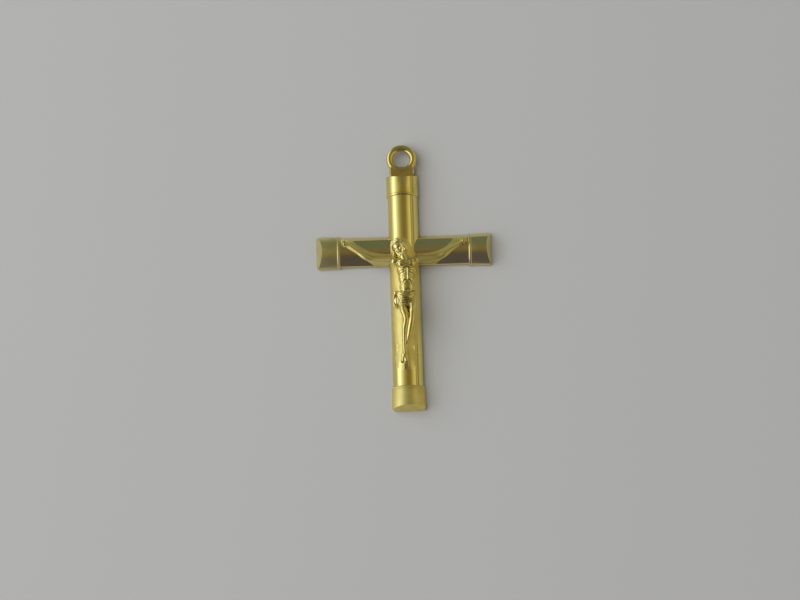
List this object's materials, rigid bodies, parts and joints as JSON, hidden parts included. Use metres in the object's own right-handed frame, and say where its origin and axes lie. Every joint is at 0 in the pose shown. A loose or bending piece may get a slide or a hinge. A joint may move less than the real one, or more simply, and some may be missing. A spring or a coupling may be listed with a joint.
{
  "type": "crucifix pendant",
  "caption": "Pendant crucifix of half-round gilt brass tube with capped ends, a fixed hanging eye and a small cast figure nailed to the front.",
  "frame": {"origin": "on the flat back, under the middle of the outline", "axes": "+X along the crossbar to the viewer's right, +Y up the upright to the hanging eye, +Z out of the front; the part lies on its back"},
  "size_m": [0.025, 0.0386, 0.0033],
  "materials": {
    "gilt_tube": "gold-plated, mirror polish",
    "gilt_cap": "gold-plated, polished with fine wear",
    "gilt_eye": "gold-plated, polished",
    "gilt_casting": "gold-plated casting, polished on the high places",
    "gilt_nail": "gold-plated, polished",
    "plain_brass": "plain drawn strip"
  },
  "bodies": {
    "root": {"upright": "gilt_tube", "left_arm": "gilt_tube", "right_arm": "gilt_tube", "cross_tie": "plain_brass", "top_cap": "gilt_cap", "foot_cap": "gilt_cap", "left_cap": "gilt_cap", "right_cap": "gilt_cap", "hanging_eye": "gilt_eye", "corpus": "gilt_casting", "left_hand_nail": "gilt_nail", "right_hand_nail": "gilt_nail", "feet_nail": "gilt_nail"}
  },
  "joints": []
}
